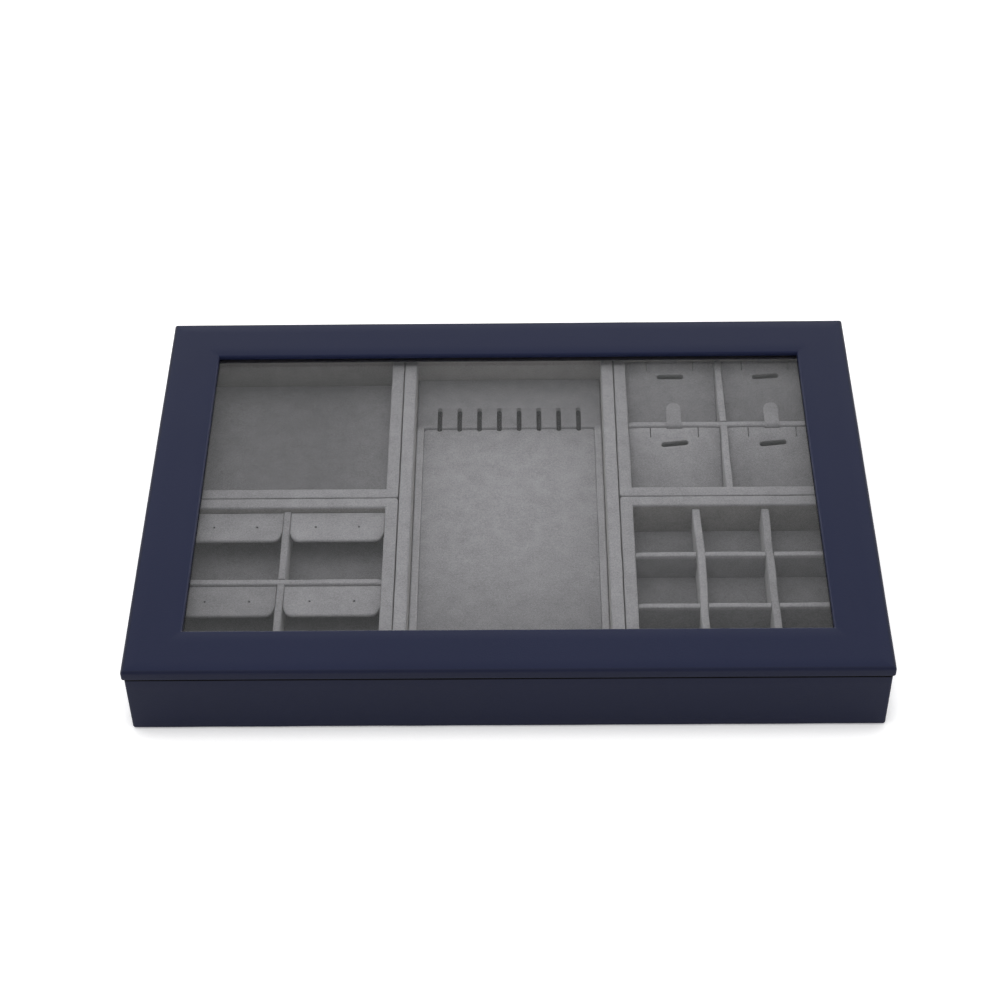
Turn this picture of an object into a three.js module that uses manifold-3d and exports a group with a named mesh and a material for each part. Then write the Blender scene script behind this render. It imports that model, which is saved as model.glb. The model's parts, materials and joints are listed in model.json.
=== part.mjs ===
// Lidded jewelry display case: a leatherette box, a hinged lid with a clear pane and five suede trays.
// Millimetres, +Z up, +Y to the back. The origin is the middle of the underside.

import * as THREE from 'three';
import { mergeVertices } from 'three/addons/utils/BufferGeometryUtils.js';
import Module from 'manifold-3d';

const wasm = await Module();
wasm.setup();

// Case
const lidWidth = 350;
const lidDepth = 240;
const lidThickness = 5;
const lidOverhang = 1;
const lidGap = 0.9;
const baseHeight = 34.5;
const rimWidth = 10;
const windowMargin = 25.5;
const caseCorner = 1.3;

// Sheets and boards
const leather = 0.6;
const liner = 0.5;
const linerMargin = 4;
const bottomBoard = 2.8;
const lining = 0.8;
const seat = 0.3;
const baseTurnIn = 14;
const lidTurnIn = 13;

// Rounded edges
const lidTopEdge = 1.3;
const lidBottomEdge = 0.5;
const windowEdge = 0.9;
const baseTopEdge = 0.6;
const baseBottomEdge = 0.8;
const tightCorner = 0.3;

// Pane
const paneRecess = 2.5;
const paneThickness = 1.6;
const rebateWidth = 8;

// Hinges and closure magnets
const hingeInset = 70;
const leafWidth = 30;
const leafThickness = 0.6;
const leafMargin = 1.5;
const knuckleRadius = 1.6;
const knuckleShare = 0.34;
const pinRadius = 0.8;
const pinPlay = 0.25;
const magnetInset = 55;
const magnetRadiusShare = 0.36;
const magnetHeight = 3;
const keeperHeight = 2;

// Trays
const trayColumns = 3;
const sidePlay = 1.8;
const sideShift = 0.5;
const endPlay = 0.5;
const trayGap = 0.6;
const rimDrop = 3.5;
const trayWall = 6;
const trayFloor = 2.8;
const trayCorner = 1.6;
const trayFootEdge = 0.8;
const rimEdge = 0.9;

// Floor pads
const padThickness = 4.4;
const padEdge = 1.2;
const padCorner = 1;
const padCrown = 0.5;
const padShoulder = 9;

// Dividers
const longThickness = 3.1;
const crossThickness = 3.4;
const ringLongThickness = 2.8;
const ringCrossThickness = 3.7;
const earringLongShift = 1;
const pendantLongShift = -0.45;
const pendantCrossShift = 0.5;
const ringLongShift = 0.95;
const dividerDrop = 2.3;
const dividerEdge = 0.8;
const lapPlay = 0.25;
const ringCells = 3;

// Earring shelf cards
const cardThickness = 1.8;
const cardDrop = 3.3;
const cardDepth = 18.7;
const cardFold = 1;
const cardCorner = 5;
const postHoleRadius = 0.6;
const postHoleSpacing = 21;
const postHoleInset = 10;

// Pendant ramp cards
const rampThickness = 2.2;
const rampDrop = 3.6;
const rampToe = 1.3;
const rampFold = 0.8;
const slotLength = 14;
const slotWidth = 2.9;
const slotInset = 8.6;
const slitSpacing = 24.2;
const slitWidth = 0.5;
const slitLength = 5.8;

// Pull tabs
const tabWidth = 7.3;
const tabThickness = 0.6;
const tabRoot = 6;
const tabReach = 13;
const tabRise = 2.1;
const rimTabReach = 5;
const rimTabRise = -0.3;
const rimTabLift = 0.4;
const quarterHandleShare = 0.5523;

// Necklace slot block and pad
const blockHeight = 7.1;
const blockArm = 3.6;
const blockLedge = 36.6;
const blockEdge = 1.2;
const notchCount = 8;
const notchPitch = 10.25;
const notchWidth = 2.5;
const notchLength = 14.6;
const notchDepth = 6.1;
const neckPadDrop = 1.3;
const neckPadCrown = 0.7;

// Counts of facets
const caseCornerSteps = 5;
const trayCornerSteps = 3;
const edgeSteps = 3;
const knuckleSides = 18;
const pinSides = 12;
const discSides = 24;
const holeSides = 10;
const slotEndSteps = 5;
const tabTipSteps = 6;
const tabPathSteps = 12;
const crownSteps = 4;

// Cutters run past the surfaces that they cut by this much
const overrun = 2;
const weld = 0.0001;

// Heights and sizes that follow
const baseWidth = lidWidth - 2 * lidOverhang;
const baseDepth = lidDepth - 2 * lidOverhang;
const hingeSpacing = lidWidth - 2 * hingeInset;
const magnetSpacing = lidWidth - 2 * magnetInset;
const lidBottom = baseHeight + lidGap;
const lidTop = lidBottom + lidThickness;
const paneTop = lidTop - paneRecess;
const boardBottom = liner + leather + seat;
const boardTop = boardBottom + bottomBoard;
const wallBottom = boardTop + seat;
const wallTop = baseHeight - leather - seat;
const skinInset = leather + seat;
const cavityWidth = baseWidth - 2 * rimWidth;
const cavityDepth = baseDepth - 2 * rimWidth;
const trayBottom = wallBottom + lining + seat;
const trayRim = baseHeight - rimDrop;
const trayHeight = trayRim - trayBottom;
const trayWidth = (cavityWidth - 2 * sidePlay - (trayColumns - 1) * trayGap) / trayColumns;
const trayDepth = (cavityDepth - 2 * endPlay - trayGap) / 2;
const innerWidth = trayWidth - 2 * trayWall;
const innerDepth = trayDepth - 2 * trayWall;
const floorTop = trayBottom + trayFloor;
const padBottom = floorTop + seat;
const padTop = padBottom + padThickness;
const dividerBottom = padTop + seat;
const dividerTop = trayRim - dividerDrop;

// Materials
function finish(color, roughness, metalness) {
  return new THREE.MeshStandardMaterial({ color, roughness, metalness });
}
const navyLeather = () => finish('#2f3250', 0.55, 0);
const greySuede = () => finish('#848488', 0.95, 0);
const darkLiner = () => finish('#23242b', 0.9, 0);
const fibreBoard = () => finish('#9a7b58', 0.85, 0);
const hingeSteel = () => finish('#b9bcc2', 0.35, 1);
const discSteel = () => finish('#8f9298', 0.4, 1);
function clearPane() {
  const pane = finish('#eef2f4', 0.05, 0);
  pane.transparent = true;
  pane.opacity = 0.2;
  return pane;
}

// Solids for joining and cutting
function toSolid(geometry) {
  const bare = geometry.clone();
  bare.deleteAttribute('normal');
  bare.deleteAttribute('uv');
  const merged = mergeVertices(bare, weld);
  const mesh = new wasm.Mesh({
    numProp: 3,
    vertProperties: new Float32Array(merged.attributes.position.array),
    triVerts: new Uint32Array(merged.index.array),
  });
  return new wasm.Manifold(mesh);
}

function toGeometry(solid) {
  const mesh = solid.getMesh();
  const geometry = new THREE.BufferGeometry();
  geometry.setAttribute('position', new THREE.BufferAttribute(mesh.vertProperties.slice(), mesh.numProp));
  geometry.setIndex(new THREE.BufferAttribute(mesh.triVerts.slice(), 1));
  return geometry;
}

function cut(geometry, cutters) {
  let solid = toSolid(geometry);
  for (const cutter of cutters) {
    solid = solid.subtract(toSolid(cutter));
  }
  return toGeometry(solid);
}

// A box from its lowest corner to its highest
function block(low, high) {
  const size = new THREE.Vector3().subVectors(high, low);
  const middle = new THREE.Vector3().addVectors(low, high).divideScalar(2);
  return new THREE.BoxGeometry(size.x, size.y, size.z).translate(middle.x, middle.y, middle.z);
}

// Straight runs whose corners are rounded; each corner is [across, up, radius]
function roundedPath(corners, closed) {
  const path = [];
  const count = corners.length;
  corners.forEach(([across, up, radius], index) => {
    const here = new THREE.Vector2(across, up);
    const isEnd = !closed && (index === 0 || index === count - 1);
    if (isEnd || radius === 0) {
      path.push(here);
      return;
    }
    const [beforeAcross, beforeUp] = corners[(index + count - 1) % count];
    const [afterAcross, afterUp] = corners[(index + 1) % count];
    const toBefore = new THREE.Vector2(beforeAcross, beforeUp).sub(here).normalize();
    const toAfter = new THREE.Vector2(afterAcross, afterUp).sub(here).normalize();
    const half = Math.acos(toBefore.dot(toAfter)) / 2;
    const inward = toBefore.clone().add(toAfter).normalize();
    const centre = here.clone().addScaledVector(inward, radius / Math.sin(half));
    const start = here.clone().addScaledVector(toBefore, radius / Math.tan(half)).sub(centre);
    const end = here.clone().addScaledVector(toAfter, radius / Math.tan(half)).sub(centre);
    const turn = Math.atan2(start.cross(end), start.dot(end));
    for (let step = 0; step <= edgeSteps; step += 1) {
      const spoke = start.clone().rotateAround(new THREE.Vector2(), (turn * step) / edgeSteps);
      path.push(spoke.add(centre));
    }
  });
  return path;
}

// A rectangle drawn in by an inset, with rounded corners that tighten as it shrinks
function rectangleOutline(size, inset) {
  const radius = Math.max(size.corner - inset, tightCorner);
  const halfWidth = size.width / 2 - inset - radius;
  const halfDepth = size.depth / 2 - inset - radius;
  const quarter = Math.PI / 2;
  const middles = [[1, 1], [-1, 1], [-1, -1], [1, -1]];
  return middles.flatMap(([signX, signY], corner) => {
    const points = [];
    for (let step = 0; step <= size.steps; step += 1) {
      const angle = quarter * (corner + step / size.steps);
      const x = signX * halfWidth + radius * Math.cos(angle);
      const y = signY * halfDepth + radius * Math.sin(angle);
      points.push(new THREE.Vector2(x, y));
    }
    return points;
  });
}

// Turns a mesh whose faces point inwards the right way round
function facingOut(positions, triangles) {
  const at = (index) => new THREE.Vector3().fromArray(positions, index * 3);
  const volume = triangles.reduce((sum, [a, b, c]) => sum + at(a).dot(at(b).cross(at(c))), 0);
  const turned = volume < 0 ? triangles.map(([a, b, c]) => [a, c, b]) : triangles;
  const geometry = new THREE.BufferGeometry();
  geometry.setAttribute('position', new THREE.Float32BufferAttribute(positions, 3));
  geometry.setIndex(turned.flat());
  return geometry;
}

// Loops of points joined into one closed skin, either back to the first loop or capped at both ends
function skinOver(loops, closed) {
  const perLoop = loops[0].length;
  const positions = loops.flat().flatMap((point) => point.toArray());
  const triangles = [];
  const spans = closed ? loops.length : loops.length - 1;
  for (let span = 0; span < spans; span += 1) {
    const near = span * perLoop;
    const far = ((span + 1) % loops.length) * perLoop;
    for (let point = 0; point < perLoop; point += 1) {
      const next = (point + 1) % perLoop;
      triangles.push([near + point, near + next, far + next]);
      triangles.push([near + point, far + next, far + point]);
    }
  }
  const last = (loops.length - 1) * perLoop;
  for (let point = 1; !closed && point < perLoop - 1; point += 1) {
    triangles.push([0, point + 1, point]);
    triangles.push([last, last + point, last + point + 1]);
  }
  return facingOut(positions, triangles);
}

// A profile of [inset, height, edge radius] carried round a rectangle
function sweptRectangle(size, corners, closed) {
  const loops = roundedPath(corners, closed).map(({ x: inset, y: height }) =>
    rectangleOutline(size, inset).map(({ x, y }) => new THREE.Vector3(x, y, height)));
  return skinOver(loops, closed);
}

// An outline in Y and Z pushed along X, centred
function alongX(outline, width) {
  const geometry = new THREE.ExtrudeGeometry(new THREE.Shape(outline), {
    depth: width,
    bevelEnabled: false,
    steps: 1,
  });
  geometry.translate(0, 0, -width / 2);
  const axes = new THREE.Matrix4().makeBasis(
    new THREE.Vector3(0, 1, 0),
    new THREE.Vector3(0, 0, 1),
    new THREE.Vector3(1, 0, 0),
  );
  return geometry.applyMatrix4(axes);
}

function upright(radius, height, sides, bottom) {
  const disc = new THREE.CylinderGeometry(radius, radius, height, sides);
  return disc.rotateX(Math.PI / 2).translate(0, 0, bottom + height / 2);
}

function rod(radius, length, sides) {
  return new THREE.CylinderGeometry(radius, radius, length, sides).rotateZ(Math.PI / 2);
}

const part = new THREE.Group();

function add(group, name, geometry, material, x = 0, y = 0) {
  const mesh = new THREE.Mesh(geometry, material);
  mesh.name = name;
  mesh.position.set(x, y, 0);
  group.add(mesh);
}

// Base: boards, the cover folded over them, the linings
const baseSize = { width: baseWidth, depth: baseDepth, corner: caseCorner, steps: caseCornerSteps };
const hingeAxisY = lidDepth / 2 + seat + knuckleRadius;
const hingeAxisZ = baseHeight + lidGap / 2;
const leafInner = baseDepth / 2 - rimWidth + leafMargin;
const sides = [-1, 1];
const sideNames = ['left', 'right'];

function baseCover() {
  const inner = rimWidth - leather;
  const profile = [
    [baseTurnIn, liner, 0],
    [0, liner, baseBottomEdge],
    [0, baseHeight, baseTopEdge],
    [rimWidth, baseHeight, baseTopEdge],
    [rimWidth, wallBottom, 0],
    [inner, wallBottom, 0],
    [inner, baseHeight - leather, 0],
    [leather, baseHeight - leather, 0],
    [leather, liner + leather, 0],
    [baseTurnIn, liner + leather, 0],
  ];
  const pockets = sides.map((side) => {
    const middle = (side * hingeSpacing) / 2;
    const half = leafWidth / 2 + seat;
    return block(
      new THREE.Vector3(middle - half, leafInner - seat, wallTop),
      new THREE.Vector3(middle + half, baseDepth / 2 + overrun, baseHeight + overrun),
    );
  });
  return cut(sweptRectangle(baseSize, profile, true), pockets);
}

function plate(size, inset, bottom, top, edge) {
  return sweptRectangle(size, [
    [inset + edge, bottom, 0],
    [inset, bottom, 0],
    [inset, top, edge],
    [inset + 2 * edge, top, 0],
  ], false);
}

const wallThickness = rimWidth - 2 * skinInset;
const wallMiddle = rimWidth / 2;
const magnetRadius = wallThickness * magnetRadiusShare;
const magnetY = -baseDepth / 2 + wallMiddle;

// A wall board from one corner of its plan to the other, rounded only where the case is
function wallBoard(low, high, frontCorner, backCorner) {
  const outline = roundedPath([
    [low[0], low[1], frontCorner],
    [high[0], low[1], frontCorner],
    [high[0], high[1], backCorner],
    [low[0], high[1], backCorner],
  ], true);
  const board = new THREE.ExtrudeGeometry(new THREE.Shape(outline), {
    depth: wallTop - wallBottom,
    bevelEnabled: false,
  });
  return board.translate(0, 0, wallBottom);
}

function baseBoards(group) {
  const outerX = baseWidth / 2 - skinInset;
  const outerY = baseDepth / 2 - skinInset;
  const innerX = outerX - wallThickness;
  const innerY = outerY - wallThickness;
  const corner = caseCorner - skinInset;
  const pockets = sides.map((side) =>
    upright(magnetRadius + seat, magnetHeight + seat + overrun, discSides, wallTop - magnetHeight - seat)
      .translate((side * magnetSpacing) / 2, magnetY, 0));
  const front = wallBoard([-outerX, -outerY], [outerX, -innerY], corner, 0);
  add(group, 'base_front_wall', cut(front, pockets), fibreBoard());
  add(group, 'base_back_wall', wallBoard([-outerX, innerY], [outerX, outerY], 0, corner), fibreBoard());
  const left = wallBoard([-outerX, -innerY + seat], [-innerX, innerY - seat], 0, 0);
  const right = wallBoard([innerX, -innerY + seat], [outerX, innerY - seat], 0, 0);
  add(group, 'base_left_wall', left, fibreBoard());
  add(group, 'base_right_wall', right, fibreBoard());
  add(group, 'base_bottom_board', plate(baseSize, skinInset, boardBottom, boardTop, seat), fibreBoard());
}

const base = new THREE.Group();
part.add(base);
baseBoards(base);
add(base, 'base_cover', baseCover(), navyLeather());
add(base, 'base_underside_liner', plate(baseSize, linerMargin, 0, liner, seat / 2), darkLiner());
const liningTop = wallBottom + lining;
const floorLining = plate(baseSize, rimWidth + seat, wallBottom, liningTop, seat / 2);
add(base, 'base_floor_lining', floorLining, greySuede());
sides.forEach((side, index) => {
  const disc = upright(magnetRadius, magnetHeight, discSides, wallTop - magnetHeight);
  add(base, `base_magnet_${sideNames[index]}`, disc, discSteel(), (side * magnetSpacing) / 2, magnetY);
});

// Lid: a rebated frame board, its cover, the pane and the frame that backs it
const lidSize = { width: lidWidth, depth: lidDepth, corner: caseCorner, steps: caseCornerSteps };
const coverInner = windowMargin - leather;
const frameInner = coverInner - seat;
const frameBottom = lidBottom + leather + seat;
const frameTop = lidTop - leather - seat;
const rebateOuter = windowMargin - rebateWidth;

function lidCover() {
  return sweptRectangle(lidSize, [
    [lidTurnIn, lidBottom, 0],
    [0, lidBottom, lidBottomEdge],
    [0, lidTop, lidTopEdge],
    [windowMargin, lidTop, windowEdge],
    [windowMargin, paneTop + seat, 0],
    [coverInner, paneTop + seat, 0],
    [coverInner, lidTop - leather, windowEdge - leather],
    [leather, lidTop - leather, lidTopEdge - leather],
    [leather, lidBottom + leather, 0],
    [lidTurnIn, lidBottom + leather, 0],
  ], true);
}

function lidFrameBoard() {
  const profile = [
    [skinInset, frameBottom, 0],
    [skinInset, frameTop, lidTopEdge - leather],
    [frameInner, frameTop, 0],
    [frameInner, paneTop + seat, 0],
    [rebateOuter - seat, paneTop + seat, 0],
    [rebateOuter - seat, frameBottom, 0],
  ];
  const pockets = sides.map((side) =>
    upright(magnetRadius + seat, keeperHeight + seat + overrun, discSides, frameBottom - overrun)
      .translate((side * magnetSpacing) / 2, magnetY, 0));
  return cut(sweptRectangle(lidSize, profile, true), pockets);
}

const lid = new THREE.Group();
part.add(lid);
add(lid, 'lid_frame_board', lidFrameBoard(), fibreBoard());
add(lid, 'lid_cover', lidCover(), navyLeather());
const paneBottom = paneTop - paneThickness;
add(lid, 'lid_window_pane', plate(lidSize, rebateOuter, paneBottom, paneTop, seat / 2), clearPane());
add(lid, 'lid_backing_frame', sweptRectangle(lidSize, [
  [lidTurnIn + seat, lidBottom, 0],
  [lidTurnIn + seat, paneBottom - seat, 0],
  [windowMargin, paneBottom - seat, 0],
  [windowMargin, lidBottom, 0],
], true), darkLiner());
sides.forEach((side, index) => {
  const disc = upright(magnetRadius, keeperHeight, discSides, frameBottom);
  add(lid, `lid_keeper_${sideNames[index]}`, disc, discSteel(), (side * magnetSpacing) / 2, magnetY);
});

// Butt hinges: the base leaf is let into the rim and has the outer knuckles, the lid leaf the middle one
const middleKnuckle = leafWidth * knuckleShare;
const outerKnuckle = (leafWidth - middleKnuckle) / 2 - seat;
const outerMiddle = (leafWidth - outerKnuckle) / 2;

function hingeLeaf(bottom, knuckles, cutouts) {
  const flat = block(
    new THREE.Vector3(-leafWidth / 2, leafInner, bottom),
    new THREE.Vector3(leafWidth / 2, hingeAxisY, bottom + leafThickness),
  );
  let leaf = toSolid(flat);
  for (const [middle, length] of cutouts) {
    const half = length / 2 + seat;
    const room = block(
      new THREE.Vector3(middle - half, hingeAxisY - knuckleRadius - seat, bottom - overrun),
      new THREE.Vector3(middle + half, hingeAxisY + overrun, bottom + overrun),
    );
    leaf = leaf.subtract(toSolid(room));
  }
  for (const [middle, length] of knuckles) {
    const barrel = rod(knuckleRadius, length, knuckleSides).translate(middle, hingeAxisY, hingeAxisZ);
    leaf = leaf.add(toSolid(barrel));
  }
  const bore = rod(pinRadius + pinPlay, leafWidth + overrun, knuckleSides);
  return toGeometry(leaf.subtract(toSolid(bore.translate(0, hingeAxisY, hingeAxisZ))));
}

const outerKnuckles = sides.map((side) => [side * outerMiddle, outerKnuckle]);
const middleKnuckles = [[0, middleKnuckle]];
sides.forEach((side, index) => {
  const x = (side * hingeSpacing) / 2;
  const name = sideNames[index];
  const baseLeaf = hingeLeaf(baseHeight - leafThickness, outerKnuckles, middleKnuckles);
  const lidLeaf = hingeLeaf(lidBottom - leafThickness, middleKnuckles, outerKnuckles);
  const pin = rod(pinRadius, leafWidth, pinSides).translate(0, hingeAxisY, hingeAxisZ);
  add(base, `hinge_${name}_base_leaf`, baseLeaf, hingeSteel(), x);
  add(base, `hinge_${name}_pin`, pin, hingeSteel(), x);
  add(lid, `hinge_${name}_lid_leaf`, lidLeaf, hingeSteel(), x);
});

// Tray parts, each drawn about the middle of its own tray
const columnPitch = trayWidth + trayGap;
const rowPitch = (trayDepth + trayGap) / 2;

function trayGroup(column, row) {
  const group = new THREE.Group();
  group.position.set(column * columnPitch + sideShift, row * rowPitch, 0);
  part.add(group);
  return group;
}

function trayShell(depth) {
  const size = { width: trayWidth, depth, corner: trayCorner, steps: trayCornerSteps };
  return sweptRectangle(size, [
    [trayWall, trayBottom, 0],
    [0, trayBottom, trayFootEdge],
    [0, trayRim, rimEdge],
    [trayWall, trayRim, rimEdge],
    [trayWall, floorTop, 0],
  ], false);
}

function padSize(width, depth) {
  return { width, depth, corner: padCorner, steps: trayCornerSteps };
}

function flatPad() {
  const size = padSize(innerWidth - 2 * seat, innerDepth - 2 * seat);
  return plate(size, 0, padBottom, padTop, seat);
}

// A wrapped foam pad: straight sides, a rounded edge and a shallow crown
function crownedPad(size, bottom, edgeTop, crown) {
  const profile = [
    [padShoulder, bottom, 0],
    [0, bottom, seat],
    [0, edgeTop, padEdge],
  ];
  for (let step = 1; step <= crownSteps; step += 1) {
    const across = step / crownSteps;
    const rise = crown * Math.sin((across * Math.PI) / 2);
    profile.push([2 * padEdge + padShoulder * across, edgeTop + rise, 0]);
  }
  return sweptRectangle(size, profile, false);
}

// A wrapped board that runs along X, half lapped where others of another thickness cross it
function divider(length, thickness, crossings, crossing, lapFromTop) {
  const half = thickness / 2;
  const halfCrossing = crossing / 2 + lapPlay;
  const section = roundedPath([
    [-half, dividerBottom, 0],
    [half, dividerBottom, 0],
    [half, dividerTop, dividerEdge],
    [-half, dividerTop, dividerEdge],
  ], true);
  const board = alongX(section, length - 2 * seat);
  const middle = (dividerBottom + dividerTop) / 2;
  const low = lapFromTop ? middle - lapPlay / 2 : dividerBottom - overrun;
  const high = lapFromTop ? dividerTop + overrun : middle + lapPlay / 2;
  const laps = crossings.map((x) => block(
    new THREE.Vector3(x - halfCrossing, -half - overrun, low),
    new THREE.Vector3(x + halfCrossing, half + overrun, high),
  ));
  return cut(board, laps);
}

// Bracelet tray, back left
const bracelet = trayGroup(-1, 1);
const openPad = padSize(innerWidth - 2 * seat, innerDepth - 2 * seat);
add(bracelet, 'bracelet_tray', trayShell(trayDepth), greySuede());
add(bracelet, 'bracelet_floor_pad', crownedPad(openPad, padBottom, padTop - padCrown, padCrown), greySuede());

// The room left on one side of a divider: how wide it is and where its middle lies
function roomBeside(inner, thickness, shift, side) {
  const size = inner / 2 - thickness / 2 - side * shift;
  return { size, middle: (side * inner) / 2 - (side * size) / 2 };
}

// Trays that one long and one cross divider part into four cells
const rowNames = ['front', 'back'];

function fourCells(group, name, longShift, crossShift) {
  add(group, `${name}_tray`, trayShell(trayDepth), greySuede());
  add(group, `${name}_floor_pad`, flatPad(), greySuede());
  const long = divider(innerWidth, longThickness, [crossShift], crossThickness, false);
  const cross = divider(innerDepth, crossThickness, [longShift], longThickness, true);
  add(group, `${name}_long_divider`, long, greySuede(), 0, longShift);
  add(group, `${name}_cross_divider`, cross.rotateZ(Math.PI / 2), greySuede(), crossShift);
  return sides.flatMap((sideY, row) => sides.map((sideX, column) => ({
    place: `${rowNames[row]}_${sideNames[column]}`,
    row,
    column,
    across: roomBeside(innerWidth, crossThickness, crossShift, sideX),
    along: roomBeside(innerDepth, longThickness, longShift, sideY),
  })));
}

// Earring tray, front left: folded cards, a shelf with post holes on a leg against the wall behind
const earring = trayGroup(-1, -1);
const cardTop = trayRim - cardDrop;

function shelfCard(cell) {
  const cardWidth = cell.across.size - 2 * seat;
  const back = cell.along.size / 2 - seat;
  const front = back - cardDepth;
  const under = cardTop - cardThickness;
  const folded = alongX(roundedPath([
    [front, under, 0],
    [back - cardThickness, under, 0],
    [back - cardThickness, dividerBottom, 0],
    [back, dividerBottom, 0],
    [back, cardTop, cardFold],
    [front, cardTop, cardThickness / 2],
  ], true), cardWidth);
  const plan = new THREE.Shape();
  const half = cardWidth / 2;
  plan.moveTo(-half, back);
  plan.lineTo(-half, front + cardCorner);
  plan.absarc(-half + cardCorner, front + cardCorner, cardCorner, Math.PI, 1.5 * Math.PI);
  plan.absarc(half - cardCorner, front + cardCorner, cardCorner, 1.5 * Math.PI, 2 * Math.PI);
  plan.lineTo(half, back);
  const outline = new THREE.ExtrudeGeometry(plan, {
    depth: trayHeight,
    bevelEnabled: false,
    curveSegments: slotEndSteps,
  });
  const trimmed = toSolid(folded).intersect(toSolid(outline.translate(0, 0, trayBottom)));
  const holes = sides.map((side) => upright(postHoleRadius, trayHeight, holeSides, trayBottom)
    .translate((side * postHoleSpacing) / 2, back - postHoleInset, 0));
  return cut(toGeometry(trimmed), holes);
}

fourCells(earring, 'earring', earringLongShift, 0).forEach((cell) => {
  const { across, along, place } = cell;
  add(earring, `earring_card_${place}`, shelfCard(cell), greySuede(), across.middle, along.middle);
});

// Pendant tray, back right: ramp cards on a folded leg, with a chain slot, two slits and a pull tab
const pendant = trayGroup(1, 1);
const rampTop = trayRim - rampDrop;
const slotTurns = [[6, 6], [0, 4]].map((row) => row.map(THREE.MathUtils.degToRad));

function chainSlot(rampBack, rampSlope, turn) {
  const half = (slotLength - slotWidth) / 2;
  const radius = slotWidth / 2;
  const shape = new THREE.Shape();
  shape.absarc(half, 0, radius, -Math.PI / 2, Math.PI / 2);
  shape.absarc(-half, 0, radius, Math.PI / 2, 1.5 * Math.PI);
  const through = rampThickness + 2 * overrun;
  const slot = new THREE.ExtrudeGeometry(shape, {
    depth: through,
    bevelEnabled: false,
    curveSegments: slotEndSteps,
  });
  slot.translate(0, 0, -through / 2).rotateZ(turn).rotateX(rampSlope);
  return slot.translate(0, rampBack - slotInset, rampTop - slotInset * Math.tan(rampSlope));
}

function rampCard(cell, turn) {
  const rampBack = cell.along.size / 2 - seat;
  const rampFront = -rampBack;
  const rampSlope = Math.atan2(rampTop - dividerBottom - rampToe, rampBack - rampFront);
  const fall = rampThickness / Math.cos(rampSlope);
  const legFront = rampBack - rampThickness;
  const underLeg = rampTop - rampThickness * Math.tan(rampSlope) - fall;
  const underToe = rampFront + (fall - rampToe) / Math.tan(rampSlope);
  const outline = roundedPath([
    [rampFront, dividerBottom, 0],
    [underToe, dividerBottom, 0],
    [legFront, underLeg, 0],
    [legFront, dividerBottom, 0],
    [rampBack, dividerBottom, 0],
    [rampBack, rampTop, rampFold],
    [rampFront, dividerBottom + rampToe, 0],
  ], true);
  const slits = sides.map((side) => {
    const middle = (side * slitSpacing) / 2;
    const low = underLeg - slitLength * Math.tan(rampSlope);
    return block(
      new THREE.Vector3(middle - slitWidth / 2, rampBack - slitLength, low),
      new THREE.Vector3(middle + slitWidth / 2, rampBack + overrun, rampTop + overrun),
    );
  });
  const tabRoom = block(
    new THREE.Vector3(-tabWidth / 2 - seat, rampBack - tabThickness - seat, dividerBottom - overrun),
    new THREE.Vector3(tabWidth / 2 + seat, rampBack + overrun, rampTop + overrun),
  );
  const slot = chainSlot(rampBack, rampSlope, turn);
  return cut(alongX(outline, cell.across.size - 2 * seat), [slot, tabRoom, ...slits]);
}

// A tab rises in the recess behind the ramp's leg, turns over an edge and ends round
function pullTab(cell, edgeHeight, edgeRadius, reach, rise) {
  const wall = cell.along.size / 2;
  const bend = edgeRadius + seat + tabThickness / 2;
  const startY = wall - seat - tabThickness / 2;
  const bendZ = edgeHeight - edgeRadius;
  const overZ = bendZ + bend;
  const path = new THREE.CurvePath();
  const point = (y, z) => new THREE.Vector3(0, y, z);
  path.add(new THREE.LineCurve3(point(startY, rampTop - tabRoot), point(startY, bendZ)));
  const turning = new THREE.CubicBezierCurve3(
    point(startY, bendZ),
    point(startY, bendZ + bend * quarterHandleShare),
    point(startY + bend * (1 - quarterHandleShare), overZ),
    point(startY + bend, overZ),
  );
  path.add(turning);
  path.add(new THREE.QuadraticBezierCurve3(
    point(startY + bend, overZ),
    point(startY + bend + reach / 2, overZ),
    point(startY + bend + reach, overZ + rise),
  ));
  const length = path.getLength();
  const radius = tabWidth / 2;
  const straight = length - radius;
  const stations = [];
  for (let step = 0; step <= tabPathSteps; step += 1) {
    stations.push([(straight * step) / tabPathSteps, radius]);
  }
  for (let step = 1; step < tabTipSteps; step += 1) {
    const angle = (step / tabTipSteps) * (Math.PI / 2);
    stations.push([straight + radius * Math.sin(angle), radius * Math.cos(angle)]);
  }
  const loops = stations.map(([along, half]) => {
    const middle = path.getPointAt(along / length);
    const tangent = path.getTangentAt(along / length);
    const normal = new THREE.Vector3(0, -tangent.z, tangent.y).multiplyScalar(tabThickness / 2);
    const across = new THREE.Vector3(half, 0, 0);
    return [[1, 1], [-1, 1], [-1, -1], [1, -1]].map(([signX, signN]) =>
      middle.clone().addScaledVector(across, signX).addScaledVector(normal, signN));
  });
  return skinOver(loops, false);
}
fourCells(pendant, 'pendant', pendantLongShift, pendantCrossShift).forEach((cell) => {
  const { across, along, place, row, column } = cell;
  const tab = row > 0
    ? pullTab(cell, trayRim + rimTabLift, rimEdge, rimTabReach, rimTabRise)
    : pullTab(cell, dividerTop, dividerEdge, tabReach, tabRise);
  const card = rampCard(cell, slotTurns[row][column]);
  add(pendant, `pendant_ramp_${place}`, card, greySuede(), across.middle, along.middle);
  add(pendant, `pendant_pull_tab_${place}`, tab, greySuede(), across.middle, along.middle);
});

// Ring tray, front right: dividers lapped into nine cells
const ring = trayGroup(1, -1);
function ringPlaces(inner, thickness, shift) {
  const pitch = (inner + thickness) / ringCells;
  return Array.from({ length: ringCells - 1 }, (unused, index) =>
    (index + 1 - ringCells / 2) * pitch + shift);
}

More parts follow.
